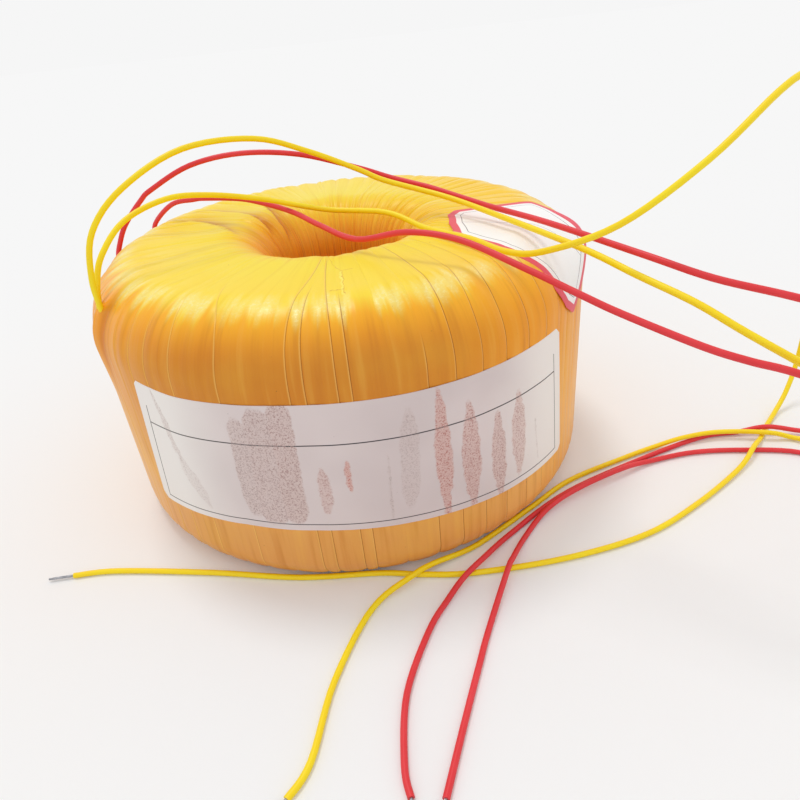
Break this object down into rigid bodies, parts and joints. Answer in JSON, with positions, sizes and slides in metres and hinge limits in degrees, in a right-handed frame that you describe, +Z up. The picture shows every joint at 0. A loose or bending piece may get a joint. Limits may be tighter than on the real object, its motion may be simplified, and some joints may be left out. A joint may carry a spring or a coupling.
{
  "type": "interstage transformer",
  "caption": "Gapped toroidal audio transformer, taped all over, with an open centre hole for a clamping bolt, bare paper labels and loose flying leads.",
  "frame": {"origin": "centre of the ring's flat underside, on the axis of the centre hole", "axes": "+Z up along the axis of the centre hole, -Y towards the side with the rating label, -X towards the side where the leads leave the tape"},
  "size_m": [0.287, 0.2434, 0.1296],
  "materials": {
    "core_steel": "edges of wound steel strip, dull",
    "gap_board": "smooth laminate",
    "inner_tape": "smooth polyester film",
    "primary_wire": "close turns of fine insulated wire",
    "secondary_wire": "turns of thicker insulated wire",
    "outer_tape": "glossy lapped polyester tape, lightly wrinkled and scuffed",
    "label_paper": "printed film, rubbed and stained",
    "sticker_paper": "satin film with a red border",
    "sleeve": "glass sleeving",
    "yellow_lead": "smooth insulation",
    "red_lead": "smooth insulation",
    "tinned_wire": "tinned strands"
  },
  "bodies": {
    "root": {"core_half_front": "core_steel", "core_half_back": "core_steel", "gap_spacer_left": "gap_board", "gap_spacer_right": "gap_board", "core_insulation": "inner_tape", "primary_a_winding": "primary_wire", "barrier_tape_inner": "inner_tape", "secondary_winding": "secondary_wire", "barrier_tape_outer": "inner_tape", "primary_b_winding": "primary_wire", "under_wrap": "inner_tape", "outer_wrap": "outer_tape", "rating_label": "label_paper", "inspection_sticker": "sticker_paper", "splice_yellow_1": "sleeve", "splice_yellow_2": "sleeve", "splice_red_1": "sleeve", "splice_red_2": "sleeve", "lead_yellow_1": "yellow_lead", "lead_yellow_2": "yellow_lead", "lead_red_1": "red_lead", "lead_red_2": "red_lead", "conductor_yellow_1": "tinned_wire", "conductor_yellow_2": "tinned_wire", "conductor_red_1": "tinned_wire", "conductor_red_2": "tinned_wire"}
  },
  "joints": []
}
